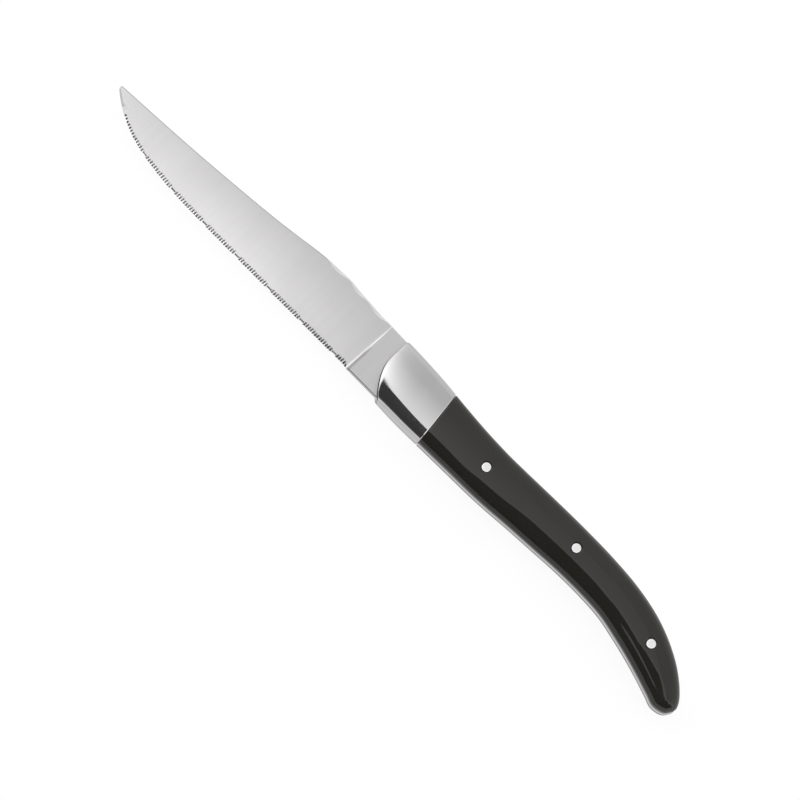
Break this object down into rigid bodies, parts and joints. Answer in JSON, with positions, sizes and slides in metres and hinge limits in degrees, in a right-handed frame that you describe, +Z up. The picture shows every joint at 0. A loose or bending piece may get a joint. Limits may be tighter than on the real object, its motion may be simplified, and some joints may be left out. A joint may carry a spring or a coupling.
{
  "type": "steak knife",
  "caption": "Fixed-blade steak knife: slender finely serrated blade, full tang, slanted steel bolster and riveted glossy black handle scales with a downturned butt.",
  "frame": {"origin": "bottom centre of the bounding box, with the knife lying on its side", "axes": "+X from the blade's tip to the handle's butt, +Y from the cutting edge to the spine, +Z up, square to the flat of the blade"},
  "size_m": [0.2296, 0.0216, 0.011],
  "materials": {
    "blade_steel": "satin stainless steel with a fine grind, polished at the edge",
    "bolster_steel": "polished stainless steel",
    "scale_black": "glossy black moulded plastic, slightly warm",
    "rivet_steel": "polished steel, ground flush",
    "pin_steel": "plain steel, hidden inside"
  },
  "bodies": {
    "root": {"blade": "blade_steel", "upper_bolster": "bolster_steel", "lower_bolster": "bolster_steel", "upper_scale": "scale_black", "lower_scale": "scale_black", "front_rivet": "rivet_steel", "middle_rivet": "rivet_steel", "rear_rivet": "rivet_steel", "front_bolster_pin": "pin_steel", "rear_bolster_pin": "pin_steel"}
  },
  "joints": []
}
